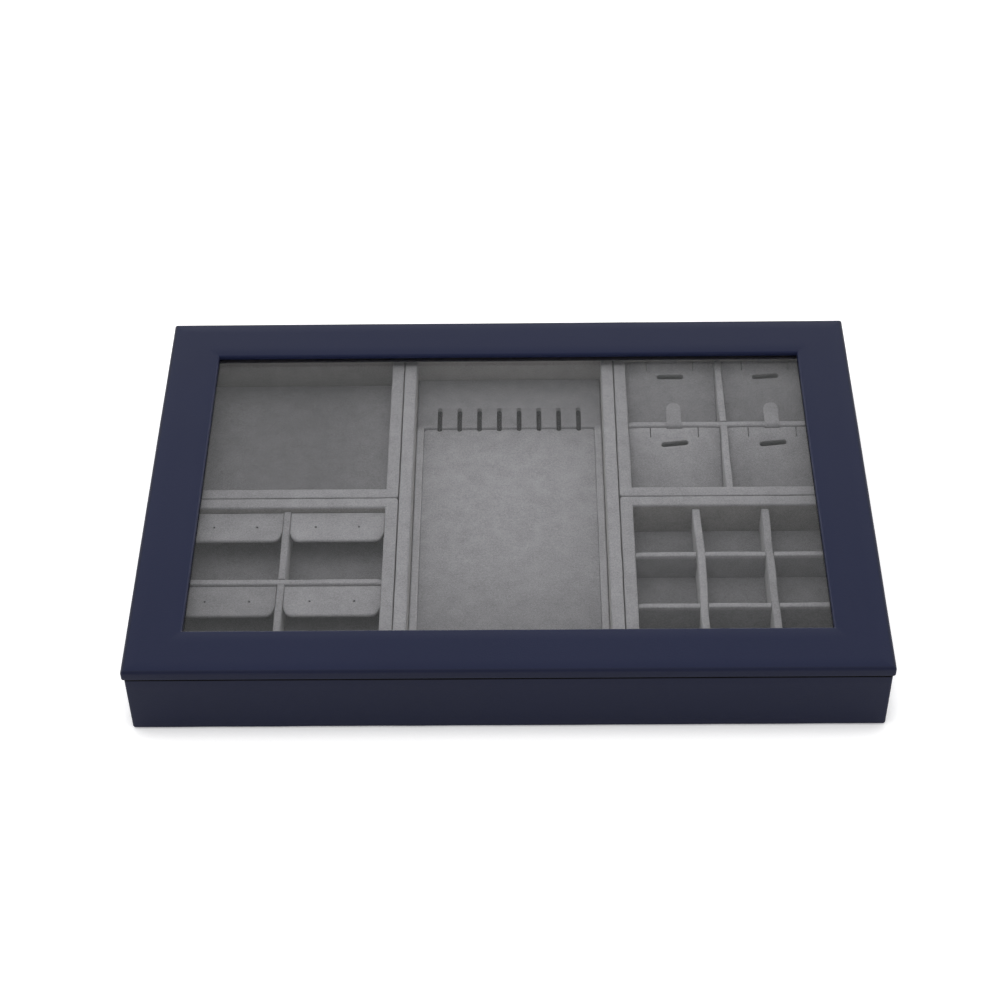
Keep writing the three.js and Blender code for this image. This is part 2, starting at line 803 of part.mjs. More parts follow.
const ringX = ringPlaces(innerWidth, ringCrossThickness, 0);
const ringY = ringPlaces(innerDepth, ringLongThickness, ringLongShift);
add(ring, 'ring_tray', trayShell(trayDepth), greySuede());
add(ring, 'ring_floor_pad', flatPad(), greySuede());
ringY.forEach((y, index) => {
  const long = divider(innerWidth, ringLongThickness, ringX, ringCrossThickness, true);
  add(ring, `ring_long_divider_${index + 1}`, long, greySuede(), 0, y);
});
ringX.forEach((x, index) => {
  const cross = divider(innerDepth, ringCrossThickness, ringY, ringLongThickness, false);
  add(ring, `ring_cross_divider_${index + 1}`, cross.rotateZ(Math.PI / 2), greySuede(), x, 0);
});

// Necklace tray, centre: a U-shaped foam block with chain notches round a pad
const necklace = trayGroup(0, 0);
const neckDepth = 2 * trayDepth + trayGap;
const neckInnerDepth = neckDepth - 2 * trayWall;
const blockHalf = innerWidth / 2 - seat;
const blockBack = neckInnerDepth / 2 - seat;
const blockFront = -blockBack;
const blockTop = padBottom + blockHeight;
const ledgeFront = blockBack - blockLedge;

function slotBlock() {
  const arm = blockHalf - blockArm;
  const outline = new THREE.Shape();
  outline.moveTo(-blockHalf, blockFront);
  outline.lineTo(-arm, blockFront);
  outline.lineTo(-arm, ledgeFront);
  outline.lineTo(arm, ledgeFront);
  outline.lineTo(arm, blockFront);
  outline.lineTo(blockHalf, blockFront);
  outline.lineTo(blockHalf, blockBack);
  outline.lineTo(-blockHalf, blockBack);
  const body = new THREE.ExtrudeGeometry(outline, {
    depth: blockTop - padBottom - 2 * blockEdge,
    bevelThickness: blockEdge,
    bevelSize: blockEdge,
    bevelOffset: -blockEdge,
    bevelSegments: edgeSteps,
  });
  body.translate(0, 0, padBottom + blockEdge);
  const notches = [];
  for (let index = 0; index < notchCount; index += 1) {
    const x = (index - (notchCount - 1) / 2) * notchPitch;
    notches.push(notch().translate(x, 0, 0));
  }
  return cut(body, notches);
}

function notch() {
  const radius = notchWidth / 2;
  const shape = new THREE.Shape();
  shape.moveTo(-radius, ledgeFront - overrun);
  shape.lineTo(radius, ledgeFront - overrun);
  shape.absarc(0, ledgeFront + notchLength - radius, radius, 0, Math.PI);
  const cutter = new THREE.ExtrudeGeometry(shape, {
    depth: notchDepth + overrun,
    bevelEnabled: false,
    curveSegments: slotEndSteps,
  });
  return cutter.translate(0, 0, blockTop - notchDepth);
}

const neckPadWidth = 2 * (blockHalf - blockArm - seat);
const neckPadBack = ledgeFront - seat;
const neckPadDepth = neckPadBack - blockFront;
const neckPadSize = padSize(neckPadWidth, neckPadDepth);
const neckPad = crownedPad(neckPadSize, padBottom, blockTop - neckPadDrop, neckPadCrown);
add(necklace, 'necklace_tray', trayShell(neckDepth), greySuede());
add(necklace, 'necklace_slot_block', slotBlock(), greySuede());
add(necklace, 'necklace_pad', neckPad, greySuede(), 0, (neckPadBack + blockFront) / 2);

export default part;
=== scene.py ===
import json
import math

import bmesh
import bpy
from mathutils import Matrix, Vector, noise


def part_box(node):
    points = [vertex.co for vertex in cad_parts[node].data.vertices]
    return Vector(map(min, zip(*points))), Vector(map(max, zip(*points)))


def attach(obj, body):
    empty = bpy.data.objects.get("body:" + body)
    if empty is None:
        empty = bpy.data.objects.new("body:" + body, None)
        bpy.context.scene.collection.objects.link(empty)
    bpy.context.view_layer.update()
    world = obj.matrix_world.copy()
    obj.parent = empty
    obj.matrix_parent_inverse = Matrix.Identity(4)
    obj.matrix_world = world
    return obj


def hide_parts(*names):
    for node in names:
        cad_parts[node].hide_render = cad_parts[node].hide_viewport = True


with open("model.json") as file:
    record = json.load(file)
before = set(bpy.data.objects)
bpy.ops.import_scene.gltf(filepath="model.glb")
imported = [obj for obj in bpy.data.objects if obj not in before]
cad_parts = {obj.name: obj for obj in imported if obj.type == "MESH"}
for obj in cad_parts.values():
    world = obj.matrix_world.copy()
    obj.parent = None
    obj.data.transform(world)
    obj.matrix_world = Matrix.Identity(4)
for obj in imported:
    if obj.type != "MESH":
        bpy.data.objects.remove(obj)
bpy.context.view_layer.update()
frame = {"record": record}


# Base boards and the lid's frame board
# Four wall boards and a bottom board of raw fibreboard are glued into a shallow box; the lid's frame is
# of the same board. The covers and the linings hide them, so only their warm brown fibre matters.

class Wire:
    """A shader socket that joins in Python sums."""

    def __init__(self, finish, socket):
        self.finish = finish
        self.socket = socket

    def joined(self, operation, other, flipped=False):
        pair = [other, self] if flipped else [self, other]
        return self.finish.node("ShaderNodeMath", {"operation": operation}, pair)

    def __add__(self, other): return self.joined("ADD", other)
    def __radd__(self, other): return self.joined("ADD", other, True)
    def __sub__(self, other): return self.joined("SUBTRACT", other)
    def __rsub__(self, other): return self.joined("SUBTRACT", other, True)
    def __mul__(self, other): return self.joined("MULTIPLY", other)
    def __rmul__(self, other): return self.joined("MULTIPLY", other, True)
    def __truediv__(self, other): return self.joined("DIVIDE", other)
    def __pow__(self, other): return self.joined("POWER", other)


class Bench:
    """A node tree that new nodes are laid out on."""

    def __init__(self, tree):
        self.nodes = tree.nodes
        self.links = tree.links

    def fill(self, socket, value):
        if isinstance(value, Wire):
            self.links.new(value.socket, socket)
        elif hasattr(socket.default_value, "__len__") and not isinstance(value, (int, float)):
            opaque = list(value) + [1.0]
            socket.default_value = opaque[:len(socket.default_value)]
        else:
            socket.default_value = value

    def node(self, kind, settings=None, inputs=None, output=0):
        """Adds a node; stops among its settings are the places and greys of a ramp."""
        made = self.nodes.new(kind)
        for key, value in (settings or {}).items():
            if key == "stops":
                ramp = made.color_ramp
                while len(ramp.elements) < len(value):
                    ramp.elements.new(0.5)
                for stop, (place, shade) in zip(ramp.elements, value):
                    stop.position = place
                    stop.color = (shade, shade, shade, 1)
            else:
                setattr(made, key, value)
        pairs = inputs.items() if isinstance(inputs, dict) else enumerate(inputs or [])
        for key, value in pairs:
            self.fill(made.inputs[key], value)
        return Wire(self, made.outputs[output])

    def clamped(self, value):
        return self.node("ShaderNodeClamp", {}, {"Value": value})

    def blend(self, factor, first, second):
        made = self.nodes.new("ShaderNodeMix")
        made.data_type = "RGBA"
        for key, value in (("Factor_Float", factor), ("A_Color", first), ("B_Color", second)):
            socket = next(s for s in made.inputs if s.identifier == key)
            self.fill(socket, value)
        return Wire(self, next(s for s in made.outputs if s.identifier == "Result_Color"))


class Finish(Bench):
    """A surface finish: one principled shader and the nodes that drive it."""

    def __init__(self, name, **fixed):
        self.material = bpy.data.materials.new(name)
        self.material.use_nodes = True
        super().__init__(self.material.node_tree)
        self.shader = self.nodes["Principled BSDF"]
        self.place = self.node("ShaderNodeTexCoord", output="Object")
        for socket, value in fixed.items():
            self.feed(socket.replace("_", " "), value)

    def feed(self, socket, value):
        self.fill(self.shader.inputs[socket], value)

    def noise(self, scale, detail, roughness):
        return self.node("ShaderNodeTexNoise", {}, {
            "Vector": self.place, "Scale": scale, "Detail": detail, "Roughness": roughness})

    def along(self, axis):
        return self.node("ShaderNodeSeparateXYZ", {}, {"Vector": self.place}, axis)

    def raise_grain(self, height, strength, depth):
        self.feed("Normal", self.node("ShaderNodeBump", {}, {
            "Strength": strength, "Distance": depth, "Height": height}))

    def dress(self, *names):
        for name in names:
            mesh = (bpy.data.objects[name] if isinstance(name, str) else name).data
            mesh.materials.clear()
            mesh.materials.append(self.material)


fibreboard = Finish("raw_fibreboard", Roughness=0.85)
chips = fibreboard.noise(900.0, 6.0, 0.7)
fibreboard.feed("Base Color", fibreboard.blend(chips, (0.19, 0.11, 0.055), (0.36, 0.24, 0.14)))
fibreboard.raise_grain(chips, 0.4, 0.0003)
for board in ("front_wall", "back_wall", "left_wall", "right_wall", "bottom_board"):
    fibreboard.dress(f"base_{board}")
fibreboard.dress("lid_frame_board")


# Leatherette cover of the base
# One sheet of navy leatherette, 0.6 mm thick, glued round the walls with turned and folded edges.
# It goes under the bottom, up the outside, over the rim and down inside, with beds for the hinge leaves.

mm = 0.001


def rounded(corners, closed, steps=5):
    """A profile through corners of (across, up, radius), with each radius drawn as an arc."""
    points = []
    count = len(corners)
    for index, (across, up, radius) in enumerate(corners):
        here = Vector((across, up))
        if radius == 0 or (not closed and index in (0, count - 1)):
            points.append(here)
            continue
        before = (Vector(corners[index - 1][:2]) - here).normalized()
        after = (Vector(corners[(index + 1) % count][:2]) - here).normalized()
        half = math.acos(max(-1.0, min(1.0, before.dot(after)))) / 2
        centre = here + (before + after).normalized() * (radius / math.sin(half))
        start = here + before * (radius / math.tan(half)) - centre
        end = here + after * (radius / math.tan(half)) - centre
        turn = math.atan2(start.x * end.y - start.y * end.x, start.dot(end))
        for step in range(steps + 1):
            points.append(centre + Matrix.Rotation(turn * step / steps, 2) @ start)
    return points


def divided(points, longest, closed):
    """The same profile with its long straight runs cut into shorter ones."""
    cut = []
    last = len(points) if closed else len(points) - 1
    for index in range(last):
        start, end = points[index], points[(index + 1) % len(points)]
        parts = max(1, math.ceil((end - start).length / longest))
        cut += [start.lerp(end, part / parts) for part in range(parts)]
    return cut if closed else cut + [points[-1]]


def board_outline(size, corner, inset, bay, corner_steps=5):
    """A rectangle with rounded corners, drawn in by an inset; its runs are cut into bays."""
    radius = max(corner - inset, 0.3 * mm)
    half_x, half_y = size[0] / 2 - inset - radius, size[1] / 2 - inset - radius
    signs = ((1, 1), (-1, 1), (-1, -1), (1, -1))
    points = []
    for quarter, (sign_x, sign_y) in enumerate(signs):
        for step in range(corner_steps + 1):
            angle = (quarter + step / corner_steps) * math.pi / 2
            points.append(Vector((sign_x * half_x + radius * math.cos(angle),
                                  sign_y * half_y + radius * math.sin(angle))))
        next_x, next_y = signs[(quarter + 1) % 4]
        spoke = Vector((radius * math.cos(angle), radius * math.sin(angle)))
        end = Vector((next_x * half_x, next_y * half_y)) + spoke
        bays = max(1, round(size[quarter % 2] / bay))
        start = points[-1]
        points += [start.lerp(end, step / bays) for step in range(1, bays)]
    return points


def skinned(name, loops, closed):
    """A closed mesh over loops of equal length; an open run of loops gets a face at both ends."""
    count = len(loops[0])
    mesh = bmesh.new()
    rows = [[mesh.verts.new(point) for point in loop] for loop in loops]
    pairs = list(zip(rows, rows[1:])) + ([(rows[-1], rows[0])] if closed else [])
    for near, far in pairs:
        for index in range(count):
            after = (index + 1) % count
            mesh.faces.new((near[index], near[after], far[after], far[index]))
    if not closed:
        mesh.faces.new(rows[0])
        mesh.faces.new(rows[-1])
    bmesh.ops.remove_doubles(mesh, verts=mesh.verts, dist=1e-7)
    bmesh.ops.recalc_face_normals(mesh, faces=mesh.faces)
    data = bpy.data.meshes.new(name)
    mesh.to_mesh(data)
    mesh.free()
    piece = bpy.data.objects.new(name, data)
    bpy.context.scene.collection.objects.link(piece)
    return piece


def framed(name, middle, size, corner, profile, closed, bay=5 * mm):
    """A profile of (inset, height) points carried round a rectangle about a middle."""
    loops = [[(middle[0] + p.x, middle[1] + p.y, height) for p in board_outline(size, corner, inset, bay)]
             for inset, height in profile]
    return skinned(name, loops, closed)


def smooth(piece, sharp=40):
    piece.data.shade_smooth()
    piece.data.set_sharp_from_angle(angle=math.radians(sharp))


def ruffle(piece, amount, spread, seed=0):
    """Moves a skin out and in by a hair, as glued cloth lies on board."""
    moves = []
    for vertex in piece.data.vertices:
        lift = noise.noise(vertex.co / spread + Vector((seed, 2 * seed, 0.5 * seed)))
        moves.append(vertex.normal * lift * (amount(vertex.co) if callable(amount) else amount))
    for vertex, move in zip(piece.data.vertices, moves):
        vertex.co += move


def carved(piece, cutters, bevel=0):
    """Cuts the cutters out of a piece, softens the new edges and keeps the result as its plain mesh."""
    for cutter in cutters:
        knife = piece.modifiers.new("knife", "BOOLEAN")
        knife.operation, knife.solver, knife.object = "DIFFERENCE", "EXACT", cutter
    if bevel:
        soften = piece.modifiers.new("soften", "BEVEL")
        soften.width, soften.segments, soften.limit_method = bevel, 2, "ANGLE"
        soften.angle_limit, soften.use_clamp_overlap = math.radians(55), True
    bpy.context.view_layer.update()
    result = bpy.data.meshes.new_from_object(piece.evaluated_get(bpy.context.evaluated_depsgraph_get()))
    piece.modifiers.clear()
    piece.data = result
    for cutter in cutters:
        bpy.data.objects.remove(cutter)


def brick(low, high):
    """A plain cutter from its lowest corner to its highest."""
    corners = [(low[0], low[1]), (high[0], low[1]), (high[0], high[1]), (low[0], high[1])]
    return skinned("cutter", [[(x, y, z) for x, y in corners] for z in (low[2], high[2])], False)


def stands_for(piece, body, finish, slot, *nodes):
    """Dresses a skin in its finish and lets it stand for the solids that it shows."""
    finish.dress(piece)
    smooth(piece)
    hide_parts(*nodes)
    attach(piece, body)


low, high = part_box("base_cover")
base_size = (high[0] - low[0], high[1] - low[1])
rim = high[2]
wall_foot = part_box("base_floor_lining")[0][2]
leather = 0.6 * mm
lip = 10 * mm
under_turn = 14 * mm
box_corner = 1.3 * mm
longest_run = 6 * mm
cover_profile = divided(rounded([
    (under_turn, low[2], 0), (0, low[2], 0.8 * mm), (0, rim, 0.6 * mm), (lip, rim, 0.7 * mm),
    (lip, wall_foot, 0), (lip - leather, wall_foot, 0), (lip - leather, rim - leather, 0),
    (leather, rim - leather, 0), (leather, low[2] + leather, 0),
    (under_turn, low[2] + leather, 0)], True), longest_run, True)
base_skin = framed("base_leatherette", (0, 0), base_size, box_corner, cover_profile, True)
ruffle(base_skin, 0.09 * mm, 22 * mm, 3)
leaf_beds = []
bed_gap, bed_depth = 0.3 * mm, 0.75 * mm
for side in ("left", "right"):
    leaf_low, leaf_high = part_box(f"hinge_{side}_base_leaf")
    leaf_beds.append(brick((leaf_low[0] - bed_gap, leaf_low[1] - bed_gap, rim - bed_depth),
                           (leaf_high[0] + bed_gap, leaf_high[1] + 1 * mm, rim + 2 * mm)))
carved(base_skin, leaf_beds)

leatherette = Finish("navy_leatherette", Specular_IOR_Level=0.25)
pebbles = leatherette.node("ShaderNodeTexVoronoi", {"feature": "SMOOTH_F1"}, {
    "Vector": leatherette.place, "Scale": 1400.0, "Smoothness": 0.6}, "Distance")
cloud = leatherette.noise(14.0, 3.0, 0.5)
creases = leatherette.noise(5200.0, 2.0, 0.6)
# Painted shade: a near-black, metallic band runs round the outer sides where the base's rim meets the
# lid, standing in for the shade under the lid's overhang.
side_begins, side_fade = 0.9 * mm, 0.4 * mm
overhang_shade_begins, overhang_shade_fade = 1.1 * mm, 0.7 * mm
lid_begins, lid_fade = 1.5 * mm, 0.5 * mm
past_x, past_y = (
    leatherette.node("ShaderNodeMath", {"operation": "ABSOLUTE"}, [leatherette.along(axis)])
    - (side - side_begins) for axis, side in (("X", high[0]), ("Y", high[1])))
outward = leatherette.node("ShaderNodeMath", {"operation": "MAXIMUM"}, [past_x, past_y])
on_side = leatherette.clamped(outward / side_fade)
over_rim = leatherette.clamped((leatherette.along("Z") - (rim - overhang_shade_begins)) / overhang_shade_fade)
under_lid = leatherette.clamped(((rim + lid_begins) - leatherette.along("Z")) / lid_fade)
painted_overhang_shade = on_side * over_rim * under_lid
# Painted light and shade: the top and rim are a lighter, bluer navy and the outer sides a darker one, as
# more light falls on the top.
lit_top_navy = leatherette.blend(cloud, (0.0061, 0.0101, 0.0385), (0.0085, 0.013, 0.047))
shaded_side_navy = leatherette.blend(cloud, (0.0056, 0.0082, 0.0285), (0.0078, 0.0105, 0.035))
navy_with_painted_side_shade = leatherette.blend(on_side, lit_top_navy, shaded_side_navy)
# The band's near-black colour and its metallic are painted shade under the lid's overhang.
leatherette.feed("Base Color", leatherette.blend(painted_overhang_shade, navy_with_painted_side_shade, (0.0015, 0.0015, 0.002)))
leatherette.feed("Metallic", 0.9 * painted_overhang_shade)
leatherette.feed("Roughness", 0.42 + 0.12 * cloud)
leatherette.raise_grain(pebbles + 0.4 * creases, 0.25, 0.00012)
stands_for(base_skin, "base", leatherette, "navy_leatherette", "base_cover")


# Linings of the base
# A dark felt sheet is stuck under the bottom so that the case slides softly on a counter.
# A grey suede sheet lines the floor of the box under the trays. Both are cut square and lie flat.

felt = Finish("dark_felt", Roughness=0.95)
fluff = felt.noise(2600.0, 4.0, 0.7)
felt.feed("Base Color", felt.blend(fluff, (0.012, 0.012, 0.016), (0.04, 0.04, 0.048)))
felt.raise_grain(fluff, 0.5, 0.0002)


def suede(name, tone, *shade_layers):
    """Brushed grey suede of a tone; each shade layer is another tone, mostly painted light and shade, and
    a factor that keeps what is under it.
    """
    cloth = Finish(name, Specular_IOR_Level=0.12, Roughness=0.95, Sheen_Weight=0.25, Sheen_Roughness=0.4)
    nap_contrast, stroke_contrast, spread = 1.8, 0.9, 0.26
    nap = cloth.noise(1200.0, 3.0, 0.72)
    strokes = cloth.noise(120.0, 3.0, 0.6)
    shade = 0.5 + nap_contrast * (nap - 0.5) + stroke_contrast * (strokes - 0.5)

    def grey_tone(depth):
        grey = depth if isinstance(depth, tuple) else (depth, 0.985 * depth, 1.03 * depth)
        return cloth.blend(shade, [(1 - spread) * c for c in grey], [(1 + spread) * c for c in grey])

    colour = grey_tone(tone)
    for depth, kept in shade_layers:
        colour = cloth.blend(kept(cloth), grey_tone(depth), colour)
    cloth.feed("Base Color", colour)
    cloth.raise_grain(nap + 0.6 * strokes, 0.35, 0.0002)
    return cloth


def shade_factor_along(cloth, axis, *stops):
    """A factor for the shade layers that follows stops of (place in metres, factor) along an axis."""
    first, length = stops[0][0], stops[-1][0] - stops[0][0]
    shares = [((place - first) / length, factor) for place, factor in stops]
    travelled = (cloth.along(axis) - first) / length
    return cloth.node("ShaderNodeValToRGB", {"stops": shares}, {"Fac": travelled})


def near_top(top, deep_by=2.2 * mm, over=1.6 * mm):
    """A factor for the cloth from a depth below a top upward, which fades in over a height."""
    return lambda cloth: shade_factor_along(cloth, "Z", (top - deep_by, 0), (top - deep_by + over, 1))


def centre_of(node):
    low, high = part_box(node)
    return ((low[0] + high[0]) / 2, (low[1] + high[1]) / 2), (high[0] - low[0], high[1] - low[1])


def cut_sheet(name, node, corner):
    """A flat sheet with a soft cut edge, and the size that it is cut to."""
    low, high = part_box(node)
    middle, size = centre_of(node)
    soft = (high[2] - low[2]) / 3
    border = 60 * mm
    profile = [(border, low[2]), (soft, low[2]), (0, low[2] + soft),
               (0, high[2] - soft), (soft, high[2]), (border, high[2])]
    return framed(name, middle, size, corner, profile, False), size


foot_sheet, foot_size = cut_sheet("underside_felt", "base_underside_liner", 2 * mm)
stands_for(foot_sheet, "base", felt, "dark_liner", "base_underside_liner")
floor_suede = suede("suede_floor_lining", 0.19)
floor_sheet, floor_size = cut_sheet("box_floor_lining", "base_floor_lining", 0.5 * mm)
stands_for(floor_sheet, "base", floor_suede, "grey_suede", "base_floor_lining")


# Leatherette cover of the lid
# The same leatherette is wrapped round the frame board and turned in round the window and underneath.
# It is glued tight, so only the rounded edges and a faint unevenness show that a sheet covers the board.

low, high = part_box("lid_cover")
lid_size = (high[0] - low[0], high[1] - low[1])
lid_turn = 13 * mm
window = 25.5 * mm
over_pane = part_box("lid_window_pane")[1][2] + 0.3 * mm
lid_profile = divided(rounded([
    (lid_turn, low[2], 0), (0, low[2], 0.5 * mm), (0, high[2], 1.3 * mm), (window, high[2], 0.9 * mm),
    (window, over_pane, 0), (window - leather, over_pane, 0),
    (window - leather, high[2] - leather, 0.3 * mm), (leather, high[2] - leather, 0.7 * mm),
    (leather, low[2] + leather, 0), (lid_turn, low[2] + leather, 0)], True), longest_run, True)
lid_skin = framed("lid_leatherette", (0, 0), lid_size, box_corner, lid_profile, True)
ruffle(lid_skin, 0.07 * mm, 30 * mm, 8)
stands_for(lid_skin, "lid", leatherette, "navy_leatherette", "lid_cover")


# Backing frame of the lid
# A frame of thin black card is glued on from below and holds the pane in its rebate.

low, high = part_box("lid_backing_frame")
backing_in, card_edge = 13.3 * mm, 0.15 * mm
backing_profile = divided(rounded([
    (backing_in, low[2], 0), (backing_in, high[2], card_edge), (window, high[2], card_edge),
    (window, low[2], card_edge)], True, 2), longest_run, True)
backing = framed("lid_backing_card", (0, 0), lid_size, box_corner, backing_profile, True)
stands_for(backing, "lid", felt, "dark_liner", "lid_backing_frame")


# Clear pane
# A sheet of clear acrylic, 1.6 mm thick, that lies in the rebate of the lid.

pane = Finish("clear_pane", Metallic=1.0, Base_Color=(0.95, 0.97, 0.98))
facing = pane.node("ShaderNodeLayerWeight", {}, {"Blend": 0.5}, "Facing")
pane.feed("Alpha", 0.035 + 0.9 * facing ** 5.0)
pane.feed("Roughness", 0.02 + 0.03 * pane.noise(60.0, 4.0, 0.6))
pane.dress("lid_window_pane")


# Hinges, closure magnets and keepers
# Two nickelled butt hinges of pressed steel turn on plain pins. Their lower leaves are let into the back
# rim and the upper ones lie on the lid's underside. Two disc magnets in the front wall hold two steel
# keepers in the lid.

steel = Finish("hinge_steel", Metallic=1.0)
brushing = steel.noise(1800.0, 2.0, 0.6)
steel.feed("Base Color", steel.blend(brushing, (0.42, 0.43, 0.45), (0.62, 0.63, 0.65)))
steel.feed("Roughness", 0.28 + 0.15 * brushing)
steel.dress(*(part["node"] for part in frame["record"]["subparts"]
              if part["material_slot"] in ("hinge_steel", "magnet_steel")))


# Hinge screws
# Three countersunk screws of dark zinced steel hold each leaf; their heads lie almost flush with it.
# Each head has a cross recess.

screw_steel = Finish("screw_steel", Metallic=1.0, Roughness=0.4)
zinc = screw_steel.noise(2400.0, 2.0, 0.6)
screw_steel.feed("Base Color", screw_steel.blend(zinc, (0.2, 0.2, 0.19), (0.34, 0.335, 0.31)))


def screw_row(name, body, middle, pitch, up):
    """Three screw heads along X about a middle, with their recesses on the upper or the lower face."""
    tree = bpy.data.node_groups.new(name, "GeometryNodeTree")
    given = {}
    for label, kind, value in (
            ("Screws", "NodeSocketInt", 3),
            ("Pitch", "NodeSocketFloat", pitch),
            ("Head radius", "NodeSocketFloat", 1.6 * mm),
            ("Head height", "NodeSocketFloat", 0.5 * mm),
            ("Recess width", "NodeSocketFloat", 0.5 * mm),
            ("Finish", "NodeSocketMaterial", screw_steel.material)):
        socket = tree.interface.new_socket(name=label, in_out="INPUT", socket_type=kind)
        given[label] = (socket.identifier, value)
    tree.interface.new_socket(name="Heads", in_out="OUTPUT", socket_type="NodeSocketGeometry")
    bench = Bench(tree)
    entry = tree.nodes.new("NodeGroupInput")
    wire = {label: Wire(bench, entry.outputs[label]) for label in given}
    head = bench.node("GeometryNodeMeshCylinder", {}, {
        "Vertices": 24, "Radius": wire["Head radius"], "Depth": wire["Head height"]}, "Mesh")
    bars = []
    long, short = wire["Head radius"] * 1.3, wire["Recess width"]
    for length_x, length_y in ((long, short), (short, long)):
        size = bench.node("ShaderNodeCombineXYZ", {}, [length_x, length_y, wire["Head height"]])
        bar = bench.node("GeometryNodeMeshCube", {}, {"Size": size}, "Mesh")
        lift = bench.node("ShaderNodeCombineXYZ", {}, {"Z": wire["Head height"] * (0.6 if up else -0.6)})
        bars.append(bench.node("GeometryNodeTransform", {}, {"Geometry": bar, "Translation": lift}))
    crossed = tree.nodes.new("GeometryNodeMeshBoolean")
    crossed.operation = "DIFFERENCE"
    tree.links.new(head.socket, crossed.inputs["Mesh 1"])
    for bar in bars:
        tree.links.new(bar.socket, crossed.inputs["Mesh 2"])
    step = bench.node("ShaderNodeCombineXYZ", {}, {"X": wire["Pitch"]})
    row = bench.node("GeometryNodeMeshLine", {"mode": "OFFSET"}, {
        "Count": wire["Screws"], "Offset": step})
    placed = bench.node("GeometryNodeInstanceOnPoints", {}, {
        "Points": row, "Instance": Wire(bench, crossed.outputs["Mesh"])})
    loose = bench.node("GeometryNodeRealizeInstances", {}, {"Geometry": placed})
    coated = bench.node("GeometryNodeSetMaterial", {}, {"Geometry": loose, "Material": wire["Finish"]})
    leave = tree.nodes.new("NodeGroupOutput")
    tree.links.new(coated.socket, leave.inputs["Heads"])
    holder = bpy.data.objects.new(name, bpy.data.meshes.new(name))
    bpy.context.scene.collection.objects.link(holder)
    maker = holder.modifiers.new("screws", "NODES")
    maker.node_group = tree
    for identifier, value in given.values():
        maker[identifier] = value
    bpy.context.view_layer.update()
    heads = bpy.data.meshes.new_from_object(holder.evaluated_get(bpy.context.evaluated_depsgraph_get()))
    holder.modifiers.clear()
    heads.transform(Matrix.Translation((middle[0] - pitch, middle[1], middle[2])))
    holder.data = heads
    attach(holder, body)


screw_pitch, from_leaf_edge = 10 * mm, 4.2 * mm
flush = {"base": rim - 0.16 * mm, "lid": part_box("lid_cover")[0][2] - 0.44 * mm}
for side in ("left", "right"):
    for body in ("base", "lid"):
        leaf_low, leaf_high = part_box(f"hinge_{side}_{body}_leaf")
        middle = ((leaf_low[0] + leaf_high[0]) / 2, leaf_low[1] + from_leaf_edge, flush[body])
        screw_row(f"hinge_screws_{side}_{body}", body, middle, screw_pitch, up=body == "base")


# Tray shells
# Each tray is a board box wrapped in brushed grey suede, with a soft rounded rim six millimetres wide.
# The suede is glued over the rim and down both sides: light on the rim, and painted shade down the walls.

wall = 6 * mm
tray_floor = 2.8 * mm
tray_low, tray_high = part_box("bracelet_tray")
foot, tray_rim = tray_low[2], tray_high[2]
# Painted shade: the rims darken towards the left and right edges of the lid's window, where the lid's
# frame shades them.
rim_shade_across = ((-0.165, 0.3), (-0.125, 0.6), (-0.09, 1), (0.1, 1), (0.135, 0.7), (0.165, 0.25))
# Painted light: the upper part of each back row tray's back wall is lightened, against the shade of the
# lid's frame.
up_the_wall = ((0.014, 0), (0.02, 0.25), (0.024, 0.37), (0.0265, 0.52), (0.029, 0.9), (0.0302, 0))
# Per tray: the rim's tone, the wall tone of painted shade, and the tone of painted light up the back
# wall.
rim_wall_and_upper_tones = {
    "bracelet": (0.285, 0.157, 0.33), "earring": (0.285, 0.205, 0.205), "necklace": (0.305, 0.225, 0.38),
    "pendant": (0.285, 0.2, 0.38), "ring": (0.285, 0.21, 0.21)}


# The painted shade on the walls is given a warmer grey.
def warm_grey(depth):
    return depth, 0.96 * depth, 0.94 * depth


for index, (tray, (rim_tone, wall_tone, upper_tone)) in enumerate(rim_wall_and_upper_tones.items()):
    middle, size = centre_of(f"{tray}_tray")
    back = middle[1] + size[1] / 2 - wall

    def below_back_rim(cloth):
        at_back = shade_factor_along(cloth, "Y", (back - 0.6 * mm, 0), (back - 0.3 * mm, 1))
        return 1.0 - at_back * shade_factor_along(cloth, "Z", *up_the_wall)

    shell_suede = suede(
        f"suede_{tray}_tray", rim_tone, (0.215, lambda cloth: shade_factor_along(cloth, "X", *rim_shade_across)),
        (warm_grey(wall_tone), near_top(tray_rim)), (warm_grey(upper_tone), below_back_rim))
    outside = rounded([(wall, foot, 0), (0, foot, 0.8 * mm), (0, tray_rim, 0.8 * mm)], False)[:-1]
    over_the_rim = rounded([
        (0, foot + 2 * mm, 0), (0, tray_rim, 0.55 * mm), (wall / 2, tray_rim + 0.05 * mm, 4 * mm),
        (wall, tray_rim, 0.9 * mm), (wall, foot + tray_floor, 0)], False)[1:]
    profile = divided(outside + over_the_rim, 5 * mm, False)
    shell = framed(f"{tray}_tray_shell", middle, size, 1.6 * mm, profile, False, 4 * mm)
    ruffle(shell, lambda co: 0.16 * mm if co.z > tray_rim - 4 * mm else 0.08 * mm, 13 * mm, 11 + index)
    stands_for(shell, f"{tray}_tray", shell_suede, "grey_suede", f"{tray}_tray")


# Floor pads and the necklace pad
# Soft foam boards wrapped in suede: their edges pull round and their faces swell a little.
# The bracelet pad fills its tray, the necklace pad lies in the slot block, the others lie under dividers.


